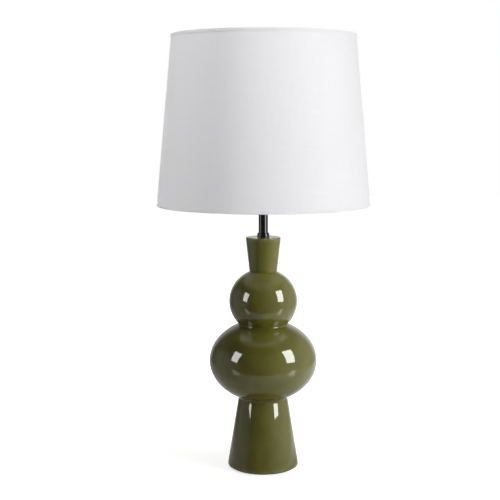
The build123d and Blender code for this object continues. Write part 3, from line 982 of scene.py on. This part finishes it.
# Floor
# A plain white sweep that fades to pure white away from the lamp and holds the lamp's shadow. The gloss
# doesn't see it, and mirrors the table of the next section instead.
white = (1.0, 1.0, 1.0, 1.0)
floor_half = 6.0
floor_white = (0.72, 0.72, 0.72, 1.0)
floor_glow_near, floor_glow_far = 0.70, 1.0
floor_near, floor_far = 0.2, 0.8


def vector_maths(tree, operation, first, second=(0.0, 0.0, 0.0)):
    """The result of one step on places or directions: a vector from a difference, or else a number."""
    node = add_node(tree, "ShaderNodeVectorMath", {"operation": operation})
    join(tree, first, node.inputs[0])
    join(tree, second, node.inputs[1])
    return node.outputs["Vector" if operation == "SUBTRACT" else "Value"]


def hide_from(thing, *rays):
    """Leaves a stage piece or a light out of some kinds of rays."""
    for ray in rays:
        setattr(thing, f"visible_{ray}", False)


floor_mesh = bmesh.new()
bmesh.ops.create_grid(floor_mesh, x_segments=1, y_segments=1, size=floor_half)
sweep, tree, shader = new_material(
    "sweep_white", Base_Color=floor_white, Roughness=0.9, Specular_IOR_Level=0.0
)
ray = add_node(tree, "ShaderNodeLightPath").outputs
place = add_node(tree, "ShaderNodeNewGeometry").outputs["Position"]
from_lamp = vector_maths(tree, "LENGTH", place)
level = remap(tree, from_lamp, floor_near, floor_far, floor_glow_near, floor_glow_far)
seen = maths(tree, "MULTIPLY", ray["Is Camera Ray"], level)
glow = add_node(tree, "ShaderNodeEmission", Color=white, Strength=seen)
both = tree.nodes.new("ShaderNodeAddShader")
join(tree, shader.outputs["BSDF"], both.inputs[0])
join(tree, glow.outputs["Emission"], both.inputs[1])
join(tree, both.outputs["Shader"], tree.nodes["Material Output"].inputs["Surface"])
floor = mesh_piece("sweep_floor", floor_mesh, sweep)
hide_from(floor, "glossy", "transmission")


# Mirrored table
# A table top that only reflections see. It ends in front of the lamp and glows with painted light instead of
# being lit: brighter on the right, with a painted shadow round the lamp and two painted streaks of window
# sheen.
black = (0.0, 0.0, 0.0, 1.0)
table_left, table_right = -0.72, 0.72
table_front, table_back = -0.41, 1.2
table_lift = 0.0002
table_dim, table_bright = 0.40, 1.15
table_tone_reach = 0.45
painted_lamp_shadow_share = 0.55
table_near, table_far = 0.05, 0.28
sheen_half_width = 0.065
sheen_edge = 0.01
sheen_start, sheen_full = -0.04, 0.08
left_sheen_ends = ((-0.303, -0.237, 0.0), (-0.640, -0.355, 0.0))
left_sheen_strength = 1.25
right_sheen_ends = ((0.298, -0.200, 0.0), (0.583, -0.300, 0.0))
right_sheen_strength = 2.2


def sheen(tree, place, near, far, strength):
    """A painted streak of window sheen on the table, from its near end towards its far one."""
    way = (Vector(far) - Vector(near)).normalized()
    from_near = vector_maths(tree, "SUBTRACT", place, near)
    along = vector_maths(tree, "DOT_PRODUCT", from_near, way)
    across = vector_maths(tree, "DOT_PRODUCT", from_near, (-way.y, way.x, 0.0))
    inside = remap(tree, maths(tree, "ABSOLUTE", across), sheen_half_width, sheen_half_width - sheen_edge)
    return maths(tree, "MULTIPLY", inside, remap(tree, along, sheen_start, sheen_full, to_high=strength))


table_mesh = bmesh.new()
table_corners = (
    (table_left, table_front),
    (table_right, table_front),
    (table_right, table_back),
    (table_left, table_back),
)
table_mesh.faces.new([table_mesh.verts.new((x, y, table_lift)) for x, y in table_corners])
table_white, tree, shader = new_material(
    "table_white", Base_Color=black, Specular_IOR_Level=0.0, Emission_Color=white
)
place = add_node(tree, "ShaderNodeNewGeometry").outputs["Position"]
across = add_node(tree, "ShaderNodeSeparateXYZ", Vector=place).outputs["X"]
# Painted light: the table grows brighter towards the right, where the key stands.
painted_key_light = remap(tree, across, -table_tone_reach, table_tone_reach, table_dim, table_bright)
# Painted shadow: the table is darker close round the lamp.
painted_lamp_shadow = remap(tree, vector_maths(tree, "LENGTH", place), table_near, table_far, painted_lamp_shadow_share)
open_table = maths(tree, "MULTIPLY", painted_key_light, painted_lamp_shadow)
# Painted reflections: the two streaks of window sheen.
left_sheen = sheen(tree, place, *left_sheen_ends, left_sheen_strength)
right_sheen = sheen(tree, place, *right_sheen_ends, right_sheen_strength)
lit = maths(tree, "ADD", open_table, maths(tree, "ADD", left_sheen, right_sheen))
join(tree, lit, shader.inputs["Emission Strength"])
table = mesh_piece("mirrored_table", table_mesh, table_white)
hide_from(table, "camera", "diffuse", "shadow")


# Room
# What the gloss mirrors above the table: a room that is dim in front, with a bright wall on the right, a low
# grey one on the left and a pale one behind. The camera sees plain white in its place.
room_fill = 0.14
room_seen = 1.0
room_dim = 0.12
room_right = 0.80
room_right_narrowing = 1.5
room_left = 0.34
room_back = 0.80
room_back_left_share, room_back_right_share = 0.65, 0.35
room_top_share = 0.45
world = bpy.data.worlds.new("studio")
bpy.context.scene.world = world
world.use_nodes = True
tree = world.node_tree
tree.nodes.clear()
ray = add_node(tree, "ShaderNodeLightPath").outputs
direction = add_node(tree, "ShaderNodeTexCoord").outputs["Generated"]
parts = add_node(tree, "ShaderNodeSeparateXYZ", Vector=direction).outputs
rightward = maths(tree, "POWER", maths(tree, "MAXIMUM", parts["X"], 0.0), room_right_narrowing)
right_wall = maths(tree, "MULTIPLY_ADD", rightward, room_right, room_dim)
leftward = remap(tree, parts["X"], low=-0.70, high=-0.95, to_high=room_left)
low_part = remap(tree, parts["Z"], low=0.25, high=0.55, to_low=1.0, to_high=0.0)
left_wall = maths(tree, "MULTIPLY", leftward, low_part)
back_left = remap(tree, parts["X"], low=-0.80, high=-0.40, to_high=room_back_left_share)
back_right = remap(tree, parts["X"], low=-0.2, high=0.2, to_high=room_back_right_share)
backward = remap(tree, parts["Y"], low=0.70, high=0.95, to_high=room_back)
back_wall = maths(tree, "MULTIPLY", backward, maths(tree, "ADD", back_left, back_right))
walls = maths(tree, "ADD", right_wall, maths(tree, "ADD", left_wall, back_wall))
dim_top = remap(tree, parts["Z"], low=0.45, high=0.85, to_low=1.0, to_high=room_top_share)
room = maths(tree, "MULTIPLY", walls, dim_top)
reflected = maths(tree, "MAXIMUM", ray["Is Glossy Ray"], ray["Is Transmission Ray"])
backgrounds = [
    add_node(tree, "ShaderNodeBackground", Color=white, Strength=strength)
    for strength in (room_fill, room, room_seen)
]
shown = backgrounds[0].outputs["Background"]
for share, background in zip((reflected, ray["Is Camera Ray"]), backgrounds[1:]):
    choice = add_node(tree, "ShaderNodeMixShader", Fac=share)
    join(tree, shown, choice.inputs[1])
    join(tree, background.outputs["Background"], choice.inputs[2])
    shown = choice.outputs["Shader"]
add_node(tree, "ShaderNodeOutputWorld", Surface=shown)


# Lights
# Two soft windows that show only in the gloss, and a pair of their own for the tube. Matt surfaces have other
# lights: two for all, two for the base, four for the shade's outside and one for its lining.
lamp_middle = (0.0, 0.0, 0.45)
shade_middle = (0.0, 0.0, 0.60)
tube_middle = (0.0, 0.0, 0.42)
key_aim = (0.0, 0.0, 0.54)
left_aim = (-0.144, 0.296, -0.173)
right_aim = (-0.047, 0.104, -0.012)


def soft_light(name, place, aim, size, power, glossy=False, roll=0.0):
    """A soft light at a place, turned to an aim, with its size in metres and its power in watts.
    It shows either in the gloss or on the matt surfaces."""
    light = bpy.data.lights.new(name, "AREA")
    light.shape = "RECTANGLE"
    light.size, light.size_y = size
    light.energy = power
    light.cycles.use_multiple_importance_sampling = glossy
    lamp = bpy.data.objects.new(name, light)
    lamp.location = place
    facing = (Vector(aim) - lamp.location).to_track_quat("-Z", "Y")
    lamp.rotation_euler = (facing @ Quaternion((0.0, 0.0, 1.0), roll)).to_euler()
    hide_from(lamp, "camera")
    hide_from(lamp, *(["diffuse"] if glossy else ["glossy", "transmission"]))
    bpy.context.scene.collection.objects.link(lamp)
    return lamp


windows = (
    soft_light(
        "left_gloss", (-0.610, -0.314, 0.467), left_aim,
        size=(0.226, 0.365), power=2.5, glossy=True, roll=radians(-19.8),
    ),
    soft_light(
        "right_gloss", (0.645, -0.363, 0.538), right_aim,
        size=(0.301, 0.500), power=7.0, glossy=True, roll=radians(-4.5),
    ),
)
tube_windows = (
    soft_light(
        "left_tube_gloss", (-0.660, -0.230, 0.36), tube_middle, size=(0.14, 0.5), power=1.6, glossy=True
    ),
    soft_light(
        "right_tube_gloss", (0.587, -0.381, 0.36), tube_middle, size=(0.22, 0.5), power=6.2, glossy=True
    ),
)
common_lights = (
    soft_light("top", (0.0, 0.0, 2.0), lamp_middle, size=(1.5, 1.5), power=3.0),
    soft_light("back", (-0.5, 1.6, 1.0), lamp_middle, size=(1.2, 1.2), power=16.0),
)
base_lights = (
    soft_light("key", (0.88, -0.49, 0.54), key_aim, size=(0.48, 0.76), power=6.4),
    soft_light("side", (1.05, -0.28, 0.50), lamp_middle, size=(0.5, 0.8), power=2.7),
)
shade_lights = (
    soft_light("shade_right", (2.333, -1.088, 0.962), shade_middle, size=(0.8, 0.8), power=54.0),
    soft_light("shade_front", (0.0, -1.992, 2.271), shade_middle, size=(0.8, 0.8), power=10.3),
    soft_light("shade_left", (-0.614, -1.064, 1.460), shade_middle, size=(0.5, 0.5), power=10.6),
    soft_light("shade_side", (-1.725, 0.996, 2.271), shade_middle, size=(0.8, 0.8), power=28.0),
)
inner = bpy.data.objects.new("shade_inner", bpy.data.lights.new("shade_inner", "POINT"))
inner.data.energy = 0.45
inner.data.shadow_soft_size = 0.03
inner.data.cycles.use_multiple_importance_sampling = False
inner.location = (0.05, 0.0, 0.50)
hide_from(inner, "camera", "glossy", "transmission")
bpy.context.scene.collection.objects.link(inner)


# Window flags
# Four thin cards that stand out from the ceramic along its outline and stop only the windows' light. Without
# them the windows glance off its rims in side views. The light groups then say which light meets what.
flag_turn = radians(65)
flag_gap = 0.002
flag_reach = 0.30
outline_heights = [height for radius, height in ceramic_outline]
ceramic_outside = ceramic_outline[: outline_heights.index(max(outline_heights)) + 1]


def window_flags(side, window):
    """Two thin cards, one either side of a window, from just off the ceramic's outline outwards."""
    towards = atan2(window.location.y, window.location.x)
    flags = []
    for i, angle in enumerate((towards - flag_turn, towards + flag_turn)):
        mesh = bmesh.new()
        rungs = []
        for radius, height in ceramic_outside:
            ends = (radius + flag_gap, flag_reach)
            rungs.append([mesh.verts.new(about_axis(angle, end, height)) for end in ends])
        for low, high in zip(rungs, rungs[1:]):
            mesh.faces.new((*low, *reversed(high)))
        flag = mesh_piece(f"{side}_flag_{i}", mesh, sweep)
        hide_from(flag, "camera", "diffuse", "glossy", "transmission")
        flags.append(flag)
    return flags


def light_group(name, pieces, state):
    """A group of pieces for light linking: the only ones that a light meets, or those that it leaves out."""
    group = bpy.data.collections.new(name)
    for piece in pieces:
        group.objects.link(piece)
    for entry in group.collection_objects:
        entry.light_linking.link_state = state
    return group


left_flags = window_flags("left", windows[0])
right_flags = window_flags("right", windows[1])
all_but_left_flags = light_group("all_but_left_flags", left_flags, "EXCLUDE")
all_but_right_flags = light_group("all_but_right_flags", right_flags, "EXCLUDE")
all_but_flags = light_group("all_but_flags", left_flags + right_flags, "EXCLUDE")
shade_inside = light_group("shade_inside", [liner], "INCLUDE")
for lamps, stopped_by in (
    (windows[:1], all_but_right_flags),
    (windows[1:], all_but_left_flags),
    ((*common_lights, *base_lights, *shade_lights), all_but_flags),
    ([inner], shade_inside),
):
    for lamp in lamps:
        lamp.light_linking.blocker_collection = stopped_by
tube_pieces = [nodes["neck_tube"], nodes["neck_collar"]]
shade_pieces = [bpy.data.objects[name] for name in ("shade_cloth", "upper_rim_tape", "lower_rim_tape")]
for lamps, reached in (
    (windows, light_group("all_but_tube", tube_pieces, "EXCLUDE")),
    (tube_windows, light_group("tube_alone", tube_pieces, "INCLUDE")),
    (base_lights, light_group("all_but_shade", shade_pieces, "EXCLUDE")),
    (shade_lights, light_group("shade_alone", shade_pieces, "INCLUDE")),
    ([inner], shade_inside),
):
    for lamp in lamps:
        lamp.light_linking.receiver_collection = reached


# Camera
# A long lens 1.8 m in front of the lamp, level with the middle of the shade and looking slightly down. It
# needs no shift, and colours are shown plainly.
looking_down = 7.06
camera_data = bpy.data.cameras.new("camera")
camera_data.sensor_width = 36.0
camera_data.lens = 78.17
camera = bpy.data.objects.new("camera", camera_data)
camera.location = (-0.0219, -1.77886, 0.58557)
camera.rotation_euler = (radians(90 - looking_down), 0.0, 0.0)
bpy.context.scene.collection.objects.link(camera)
bpy.context.scene.camera = camera
bpy.context.scene.view_settings.view_transform = "Standard"
